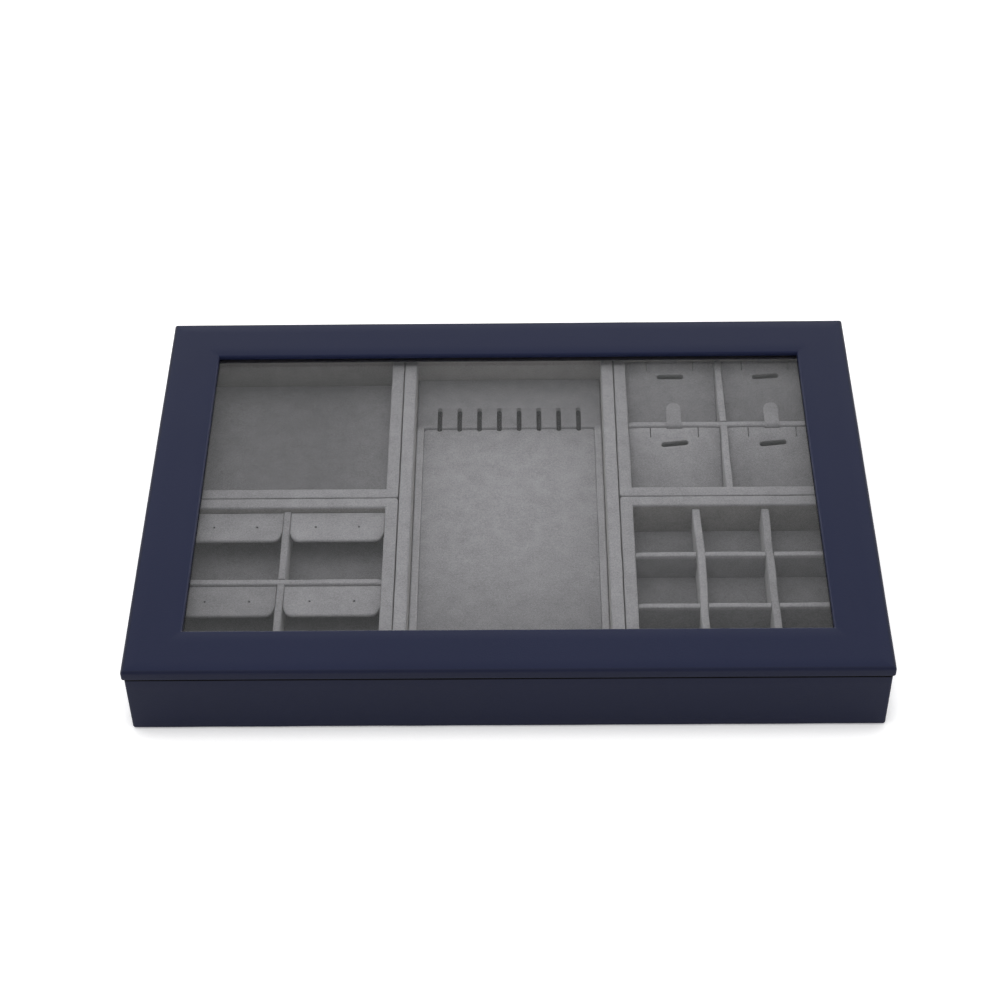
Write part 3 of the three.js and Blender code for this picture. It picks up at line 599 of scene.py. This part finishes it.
def foam_pad(node, crown, edge, seed, finish, body, swell=0.0):
    """A wrapped pad whose face rises by a crown inside its rounded edge."""
    low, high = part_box(node)
    middle, size = centre_of(node)
    size = [length + 2 * swell for length in size]
    shoulder = high[2] - crown
    profile = rounded([(edge, low[2], 0), (0, low[2], 0.4 * mm), (0, shoulder, edge),
                       (3 * edge, shoulder, 0)], False)
    reach = min(size) / 2 - 2 * mm
    inset = profile[-1].x
    rings, crown_width = 14, 16 * mm
    for step in range(1, rings + 1):
        depth = inset + (reach - inset) * (step / rings) ** 1.4
        rise = crown * math.sin(min(1.0, depth / crown_width) * math.pi / 2)
        profile.append(Vector((depth, shoulder + rise)))
    pad = framed(f"{node}_foam", middle, size, 1.5 * mm, profile, False, 3 * mm)
    ruffle(pad, lambda co: 0.22 * mm if co.z > shoulder - edge else 0.03 * mm, 21 * mm, seed)
    stands_for(pad, body, finish, "grey_suede", node)
    return pad


# The bracelet pad is darker across its middle than beside its side walls.
across_bracelet = ((-0.161, 1), (-0.15, 0.5), (-0.13, 0.15), (-0.1, 0), (-0.085, 0.2), (-0.072, 0.7),
                   (-0.063, 1))
# Painted shade: the necklace pad darkens towards its front and back ends, where the lid's frame shades
# it.
up_necklace = ((-0.102, 0), (-0.07, 0.1), (-0.03, 0.7), (0.02, 1), (0.045, 0.95), (0.066, 0.6))
bracelet_pad_suede = suede(
    "suede_floor_pads", 0.22, (0.153, lambda cloth: shade_factor_along(cloth, "X", *across_bracelet)))
necklace_pad_suede = suede(
    "suede_necklace_pad", 0.325, (0.21, lambda cloth: shade_factor_along(cloth, "Y", *up_necklace)))
foam_pad("bracelet_floor_pad", 0.5 * mm, 1.2 * mm, 21, bracelet_pad_suede, "bracelet_tray")
# The cells' floors are a dark suede, darkened further as painted shade of the deep cells.
cell_floor_suede = suede("suede_cell_floors", 0.175)
for index, tray in enumerate(("earring", "pendant", "ring")):
    foam_pad(f"{tray}_floor_pad", 0.15 * mm, 0.6 * mm, 22 + index, cell_floor_suede, f"{tray}_tray")
necklace_foam = foam_pad("necklace_pad", 0.7 * mm, 0.5 * mm, 27, necklace_pad_suede, "necklace_tray", 0.25 * mm)


# Notched slot block
# A U-shaped foam block wrapped in suede frames the necklace pad; eight notches in its ledge hold chains.

low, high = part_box("necklace_slot_block")
pad_low, pad_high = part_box("necklace_pad")
pad_gap = 0.3 * mm
arm_left, arm_right, ledge = pad_low[0] - pad_gap, pad_high[0] + pad_gap, pad_high[1] + pad_gap
edge = 0.7 * mm


def slot_block_outline(inset, height):
    """The U round the pad, drawn in by an inset, with each side cut into its number of parts."""
    left, right, front, rear = low[0] + inset, high[0] - inset, low[1] + inset, high[1] - inset
    inner_left, inner_right, inner_rear = arm_left - inset, arm_right + inset, ledge + inset
    corners = [(left, front), (inner_left, front), (inner_left, inner_rear), (inner_right, inner_rear),
               (inner_right, front), (right, front), (right, rear), (left, rear)]
    cuts = (2, 40, 24, 40, 2, 50, 26, 50)
    points = []
    for (x, y), (next_x, next_y), parts in zip(corners, corners[1:] + corners[:1], cuts):
        points += [(x + (next_x - x) * part / parts, y + (next_y - y) * part / parts, height)
                   for part in range(parts)]
    return points


def punched(outline, bottom, top):
    """An upright cutter of a flat outline."""
    return skinned("cutter", [[(x, y, z) for x, y in outline] for z in (bottom, top)], False)


def arc(x, y, radius, step, count):
    return [(x + radius * math.cos(a * step), y + radius * math.sin(a * step)) for a in range(count)]


block_profile = rounded([(edge, low[2], 0), (0, low[2], 0.5 * mm), (0, high[2], edge),
                         (2 * edge, high[2], 0)], False)[:-1]
slot_block = skinned("necklace_slot_foam", [slot_block_outline(p.x, p.y) for p in block_profile], False)
ruffle(slot_block, 0.12 * mm, 18 * mm, 31)
notch_pitch, notch_length, notch_depth = 10.25 * mm, 14.6 * mm, 6 * mm
notch_radius = 1.25 * mm
block_middle = (low[0] + high[0]) / 2
notch_places = [block_middle + (index - 3.5) * notch_pitch for index in range(8)]
past_top = high[2] + 2 * mm
notches, nicks = [], []
for x in notch_places:
    outline = [(x - notch_radius, ledge - 3 * mm), (x + notch_radius, ledge - 3 * mm)]
    outline += arc(x, ledge + notch_length - notch_radius, notch_radius, math.pi / 8, 9)
    notches.append(punched(outline, high[2] - notch_depth, past_top))
carved(slot_block, notches, 0.3 * mm)
for x in notch_places:
    outline = arc(x, ledge - 0.4 * mm, notch_radius, math.pi / 8, 16)
    nicks.append(punched(outline, high[2] - 4 * mm, past_top))
carved(necklace_foam, nicks)
# Painted light: the block is lighter beside the tray's side walls, against the shade they cast on its
# arms.
beside_walls = ((low[0], 0), (low[0] + 2.5 * mm, 0.45), (low[0] + 5 * mm, 0.8), (low[0] + 8 * mm, 1),
                (high[0] - 6 * mm, 1), (high[0] - 3 * mm, 0.75), (high[0], 0.4))
# The back ledge is given a darker tone; below its top the block is near black, painted shade inside the
# notches.
slot_block_suede = suede(
    "suede_slot_block", 0.3, (0.5, lambda cloth: shade_factor_along(cloth, "X", *beside_walls)),
    (0.225, lambda cloth: shade_factor_along(cloth, "Y", (ledge - 4 * mm, 1), (ledge + 2 * mm, 0))),
    (0.06, near_top(high[2], 2.6 * mm, 0.9 * mm)))
stands_for(slot_block, "necklace_tray", slot_block_suede, "grey_suede", "necklace_slot_block")


# Dividers
# Boards wrapped in suede stand on the floor pads and are half lapped where they cross. Their tops and
# ends are soft and rounded, and they bow a little, most of all the ring tray's front-to-back ones.

divider_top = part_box("ring_cross_divider_1")[1][2]
# Painted light and shade: each divider keeps its light tone on top and is darker down its sides; the
# cross dividers' sides, facing left and right, are darker still, and the ring cross divider on the right
# is darker, in the shade of the lid's window edge.
tops, upper_sides = near_top(divider_top, 2.6 * mm, 1.3 * mm), near_top(divider_top, 15 * mm, 6 * mm)
long_suede = {"earring_tray": suede("suede_earring_long_divider", 0.275, (0.19, tops)),
              "pendant_tray": suede("suede_pendant_long_divider", 0.29, (0.2, tops)),
              "ring_tray": suede("suede_ring_long_dividers", 0.29, (0.2, tops))}
cross_suede = {
    "earring_tray": suede("suede_earring_cross_divider", 0.24, (0.225, tops), (0.115, upper_sides)),
    "pendant_tray": suede("suede_pendant_cross_divider", 0.3, (0.245, tops), (0.115, upper_sides)),
    "ring_tray": suede(
        "suede_ring_cross_dividers", 0.3,
        (0.25, lambda cloth: shade_factor_along(cloth, "X", (0.09, 1), (0.115, 0))),
        (0.245, tops), (0.115, upper_sides))}


def divider(node, body, others, lap_from_top, seed, sway=0.3 * mm, turned=False):
    """A wrapped board that is lapped where other dividers cross it; a turned one runs front to back."""
    low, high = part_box(node)
    middle, size = centre_of(node)
    axis = 1 if turned else 0
    length, thick = size[axis], size[1 - axis]
    crossings = [(place[axis] - middle[axis], width[axis]) for place, width in map(centre_of, others)]
    half = length / 2
    halfway = (low[2] + high[2]) / 2
    edge = thick * (0.19 if turned else 0.26)
    station_pitch, end_length, end_dip = 2.2 * mm, 1.6 * mm, 0.5 * mm
    lap_play, lap_clear, lap_side, lap_step = 0.12 * mm, 0.4 * mm, 0.25 * mm, 0.01 * mm
    runs = max(2, round(length / station_pitch))
    stations = []
    for step in range(runs + 1):
        along = -half + length * step / runs
        if not any(abs(along - place) < width / 2 + lap_clear for place, width in crossings):
            stations.append((along, low[2], high[2]))
    lapped = (low[2], halfway - lap_play) if lap_from_top else (halfway + lap_play, high[2])
    for place, width in crossings:
        for side in (-1, 1):
            reach = place + side * (width / 2 + lap_side)
            stations.append((reach + side * lap_step, low[2], high[2]))
            stations.append((reach, *lapped))
    stations.sort()
    loops = []
    for along, bottom, top in stations:
        from_end = half - abs(along)
        if from_end < end_length and top > halfway + mm:
            top -= end_dip * (1 - from_end / end_length) ** 2
        bow = sway * noise.noise(Vector((along / (24 * mm), seed, 0.3)))
        section = rounded([(-thick / 2, bottom, 0), (thick / 2, bottom, 0),
                           (thick / 2, top, edge), (-thick / 2, top, edge)], True)
        loop = []
        for point in section:
            across = point.x + bow * (point.y - low[2]) / (high[2] - low[2])
            offset = (across, along) if turned else (along, across)
            loop.append((middle[0] + offset[0], middle[1] + offset[1], point.y))
        loops.append(loop)
    board = skinned(f"{node}_board", loops, False)
    stands_for(board, body, (cross_suede if turned else long_suede)[body], "grey_suede", node)


for index, tray in enumerate(("earring", "pendant")):
    across, along = f"{tray}_cross_divider", f"{tray}_long_divider"
    divider(along, f"{tray}_tray", [across], lap_from_top=False, seed=41 + index)
    divider(across, f"{tray}_tray", [along], lap_from_top=True, seed=43 + index, turned=True)
ring_long = ["ring_long_divider_1", "ring_long_divider_2"]
ring_cross = ["ring_cross_divider_1", "ring_cross_divider_2"]
for index, (along, across) in enumerate(zip(ring_long, ring_cross)):
    divider(along, "ring_tray", ring_cross, lap_from_top=True, seed=45 + index)
    divider(across, "ring_tray", ring_long, lap_from_top=False, seed=47 + 3 * index,
            sway=0.9 * mm, turned=True)


# Earring cards
# Four folded cards wrapped in suede: a shelf with round front corners and two holes for ear posts,
# on a leg that stands against the wall or divider behind it. The shelf's front edge hangs a hair low.

# Painted light and shade: each card's tone follows how light falls on it; the front left one is darker,
# in the shade near the left edge of the lid's window.
card_tones = {"front_left": 0.222, "front_right": 0.275, "back_left": 0.27, "back_right": 0.3}
card_thick, card_corner, card_runs = 1.8 * mm, 5 * mm, 34
front_sag, card_waves = 0.35 * mm, 0.18 * mm
post_radius, post_spread, post_from_back = 0.6 * mm, 10.5 * mm, 10 * mm
for seed, (place, tone) in enumerate(card_tones.items()):
    node = f"earring_card_{place}"
    low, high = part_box(node)
    # Below its top face each card is darker: painted shade on its front edge and sides.
    card_suede = suede(f"suede_{node}", tone, (0.72 * tone, near_top(high[2])))
    back, front, half = high[1], low[1], (high[0] - low[0]) / 2
    leg = back - card_thick
    middle_x = (low[0] + high[0]) / 2
    section = divided(rounded([
        (front, high[2] - card_thick, 0.8 * mm), (leg, high[2] - card_thick, 0), (leg, low[2], 0),
        (back, low[2], 0), (back, high[2], 1 * mm), (front, high[2], 0.9 * mm)], True), 2.5 * mm, True)
    loops = []
    for step in range(card_runs + 1):
        even = 2 * step / card_runs - 1
        crowded = math.sin(even * math.pi / 2)
        x = half * crowded * 0.25 + half * even * 0.75
        past = max(0.0, abs(x) - (half - card_corner))
        retreat = card_corner - math.sqrt(max(0.0, card_corner ** 2 - past ** 2))
        loop = []
        for point in section:
            share = max(0.0, (leg - point.x) / (leg - front))
            sag = front_sag * share ** 2 + card_waves * noise.noise(Vector((x / (14 * mm), share, seed)))
            loop.append((middle_x + x, point.x + retreat * share, point.y - sag * share))
        loops.append(loop)
    card = skinned(f"{node}_wrap", loops, False)
    holes = [arc(middle_x + side * post_spread, back - post_from_back, post_radius, math.pi / 6, 12)
             for side in (-1, 1)]
    carved(card, [punched(hole, high[2] - 3 * mm, high[2] + 2 * mm) for hole in holes])
    stands_for(card, "earring_tray", card_suede, "grey_suede", node)


# Pendant ramps
# Four cards folded from suede-covered board: a ramp that falls to the front on a leg at the back.
# Each has a slot for the bail, two slits for the chain, and a recess in its leg for the pull tab.

ramp_thick, toe, ramp_runs = 2.2 * mm, 1.3 * mm, 28
above_solid = 0.8 * mm
ramp_swell, ramp_waves, corner_droop = 0.35 * mm, 0.16 * mm, 0.5 * mm
recess_gap, recess_depth = 0.3 * mm, 0.9 * mm
slot_half, slot_radius, slot_from_back = 5.55 * mm, 1.45 * mm, 9.4 * mm
slit_spread, slit_length, slit_half = 12.1 * mm, 5.8 * mm, 0.25 * mm
# Per ramp: the slot's turn in degrees, a lit and a shaded tone, and how much of the lit tone shows at the
# toe and halfway up.
slot_turns_and_painted_light_tones = {
    "front_left": (6, 0.335, 0.225, 0.12, 0.4), "front_right": (6, 0.295, 0.212, 0, 0.3),
    "back_left": (0, 0.33, 0.218, 0.1, 0), "back_right": (4, 0.32, 0.208, 0, 0)}
for place, (degrees, bright, deep, at_toe, halfway_up) in slot_turns_and_painted_light_tones.items():
    node = f"pendant_ramp_{place}"
    low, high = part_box(node)
    middle, size = centre_of(node)
    back, front, top, foot = high[1], low[1], high[2] + above_solid, low[2]
    slope = math.atan2(top - foot - toe, back - front)
    fall = ramp_thick / math.cos(slope)
    leg = back - ramp_thick
    under_leg = top - ramp_thick * math.tan(slope) - fall
    under_toe = front + (fall - toe) / math.tan(slope)
    section = divided(rounded([
        (front, foot, 0), (under_toe, foot, 0), (leg, under_leg, 0), (leg, foot, 0), (back, foot, 0),
        (back, top, 0.5 * mm), (front, foot + toe, 0.5 * mm)], True), 2.5 * mm, True)
    loops = []
    for step in range(ramp_runs + 1):
        x = middle[0] + size[0] * (step / ramp_runs - 0.5)
        to_edge = abs(2 * step / ramp_runs - 1)
        loop = []
        for point in section:
            share = (point.x - front) / (back - front)
            on_slope = point.y > foot + 1 * mm and point.x < leg - 0.1 * mm
            lift = 0
            if on_slope or point.y > top - 1.2 * mm:
                lift = ramp_swell * math.sin(share * math.pi) * (1 - to_edge ** 2)
                lift += ramp_waves * noise.noise(Vector((x / (15 * mm), share * 3, degrees)))
                lift -= corner_droop * to_edge ** 8 * share ** 2
            loop.append((x, point.x, point.y + lift))
        loops.append(loop)
    ramp = skinned(f"{node}_wrap", loops, False)

    slot_middle = Vector((middle[0], back - slot_from_back, top - slot_from_back * math.tan(slope)))
    tilt = Matrix.Translation(slot_middle) @ Matrix.Rotation(slope, 4, "X")
    tilt = tilt @ Matrix.Rotation(math.radians(degrees), 4, "Z")
    stadium = [(side * (slot_half + slot_radius * math.sin(a * math.pi / 6)),
                -side * slot_radius * math.cos(a * math.pi / 6)) for side in (1, -1) for a in range(7)]
    cutters = [skinned("cutter", [[tuple(tilt @ Vector((x, y, z))) for x, y in stadium]
                                  for z in (-5 * mm, 5 * mm)], False)]
    slit_foot = under_leg - slit_length * math.tan(slope)
    for side in (-1, 1):
        x = middle[0] + side * slit_spread
        cutters.append(brick((x - slit_half, back - slit_length, slit_foot),
                             (x + slit_half, back + 1 * mm, top + 2 * mm)))
    tab_low, tab_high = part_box(f"pendant_pull_tab_{place}")
    cutters.append(brick((tab_low[0] - recess_gap, back - recess_depth, foot - 1 * mm),
                         (tab_high[0] + recess_gap, back + 1 * mm, top + 2 * mm)))
    carved(ramp, cutters, 0.22 * mm)

    # Painted light and shade: each ramp is lit brighter towards its back and shaded at its front and
    # towards its sides, most on the right.
    def ramp_light_and_shade(cloth):
        up = shade_factor_along(cloth, "Y", (front, at_toe), ((front + back) / 2, halfway_up),
                       (back - 0.15 * size[1], max(0.35, 1.6 * halfway_up)), (back, 1))
        return up * shade_factor_along(cloth, "X", (low[0], 0.6), (low[0] + 0.25 * size[0], 1),
                              (low[0] + 0.65 * size[0], 1), (high[0], 0.1))

    ramp_suede = suede(f"suede_{node}", bright, (deep, ramp_light_and_shade))
    stands_for(ramp, f"pendant_card_{place}", ramp_suede, "grey_suede", node)


# Pull tabs
# A round-ended strip of doubled suede is glued behind each ramp's leg and comes up out of its recess.
# The back ones turn over the tray's rim; the front ones turn over the long divider and rest behind it.

tab_suede = suede("suede_pull_tabs", 0.25)
tab_thick, tab_root = 0.6 * mm, 0.3 * mm
rise_steps, bend_steps, run_steps = 6, 8, 24
tab_section = ((1, 0.45), (1, -0.45), (0.86, -1), (0, -1.08), (-0.86, -1), (-1, -0.45), (-1, 0.45),
               (-0.86, 1), (0, 1.08), (0.86, 1))


def tab_strip(name, middle_x, path, width):
    """A flat strip with soft edges along a path of (y, z) points, round at its far end."""
    lengths = [0.0]
    for start, end in zip(path, path[1:]):
        lengths.append(lengths[-1] + (end - start).length)
    radius = width / 2
    loops = []
    for index, point in enumerate(path):
        left = lengths[-1] - lengths[index]
        half = radius if left >= radius else math.sqrt(max(0.0, radius ** 2 - (radius - left) ** 2))
        half = max(half, 0.25 * mm)
        before, after = path[max(0, index - 1)], path[min(len(path) - 1, index + 1)]
        along = (after - before).normalized()
        normal = Vector((-along.y, along.x)) * tab_thick / 2
        loops.append([(middle_x + side * half, point.x + normal.x * face, point.y + normal.y * face)
                      for side, face in tab_section])
    return skinned(name, loops, False)


for place in slot_turns_and_painted_light_tones:
    node = f"pendant_pull_tab_{place}"
    low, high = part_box(node)
    over_rim = place.startswith("back")
    edge_height, edge_radius = (tray_rim + 0.4 * mm, 0.9 * mm) if over_rim else (divider_top, 0.8 * mm)
    reach, rise = (5 * mm, -0.3 * mm) if over_rim else (13 * mm, 2.1 * mm)
    start_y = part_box(f"pendant_ramp_{place}")[1][1] - tab_root
    bend, bend_z = edge_radius + tab_thick, edge_height - edge_radius
    path = [Vector((start_y, low[2] + (bend_z - low[2]) * step / rise_steps))
            for step in range(rise_steps)]
    for step in range(bend_steps + 1):
        angle = step * math.pi / (2 * bend_steps)
        path.append(Vector((start_y + bend * (1 - math.cos(angle)), bend_z + bend * math.sin(angle))))
    over_y, over_z = path[-1]
    for step in range(1, run_steps + 1):
        share = 1 - (1 - step / run_steps) ** 1.6
        path.append(Vector((over_y + reach * share, over_z + rise * share ** 2)))
    tab = tab_strip(f"{node}_strip", centre_of(node)[0][0], path, high[0] - low[0])
    stands_for(tab, f"pendant_card_{place}", tab_suede, "grey_suede", node)


# Table, light and view
# A plain pale table a hair under the felt, soft light from all round that is strongest low down and
# from the back, a large soft light overhead, and the photograph's viewing angle.

table_mesh = bpy.data.meshes.new("table_top")
table_z, table_half = -0.05 * mm, 3
corners = [(x * table_half, y * table_half, table_z) for x, y in ((-1, -1), (1, -1), (1, 1), (-1, 1))]
table_mesh.from_pydata(corners, [], [(0, 1, 2, 3)])
table_top = bpy.data.objects.new("table_top", table_mesh)
bpy.context.scene.collection.objects.link(table_top)
table_finish = Finish("pale_table", Roughness=0.8, Specular_IOR_Level=0.1)
speckle = table_finish.noise(700.0, 4.0, 0.7)
table_finish.feed("Base Color", table_finish.blend(speckle, (0.86, 0.86, 0.865), (0.93, 0.93, 0.935)))
table_finish.raise_grain(speckle, 0.15, 0.0004)
seen = table_finish.node("ShaderNodeLightPath", output="Is Camera Ray")
# Painted contact shadow: the table glows for the camera alone, and ambient occlusion dims the glow close
# to the box.
openness = table_finish.node("ShaderNodeAmbientOcclusion", {"samples": 4}, {"Distance": 0.009}, "AO")
glow_dimmed_near_box = table_finish.blend(openness ** 1.5, (0.25, 0.25, 0.26), (1, 1, 1))
table_finish.feed("Emission Color", glow_dimmed_near_box)
table_finish.feed("Emission Strength", 0.55 * seen)
table_finish.dress(table_top)

world = bpy.data.worlds.new("studio")
world.use_nodes = True
sky = Bench(world.node_tree)
towards = sky.node("ShaderNodeTexCoord", output="Generated")
upward = sky.node("ShaderNodeSeparateXYZ", {}, {"Vector": towards}, "Z")
backward = sky.node("ShaderNodeSeparateXYZ", {}, {"Vector": towards}, "Y")
low_walls = (1.0 - sky.clamped(upward)) ** 3.0
backdrop = sky.nodes["Background"]
backdrop.inputs["Color"].default_value = (1, 1, 1, 1)
sky.fill(backdrop.inputs["Strength"], (0.45 + 2.2 * low_walls) * (1.0 + 0.45 * backward))
bpy.context.scene.world = world
bpy.context.scene.view_settings.view_transform = "Standard"

lamp = bpy.data.lights.new("overhead_box", "AREA")
lamp.shape = "RECTANGLE"
lamp.size, lamp.size_y = 1.6, 1.2
lamp.energy = 8
overhead = bpy.data.objects.new("overhead_box", lamp)
overhead.location = (-0.2, -0.1, 1.5)
overhead.rotation_euler = (-overhead.location).to_track_quat("-Z", "Y").to_euler()
overhead.visible_glossy = False
bpy.context.scene.collection.objects.link(overhead)

camera = bpy.data.cameras.new("view")
camera.lens = 81.4026
camera.sensor_width = 36
camera.shift_x = 0.00379
camera.shift_y = -0.03256
camera.clip_start, camera.clip_end = 0.01, 20
viewer = bpy.data.objects.new("view", camera)
viewer.location = (0.008058, -0.781513, 0.818056)
viewer.rotation_euler = (0.794847, 0.013511, 0.004044)
bpy.context.scene.collection.objects.link(viewer)
bpy.context.scene.camera = viewer
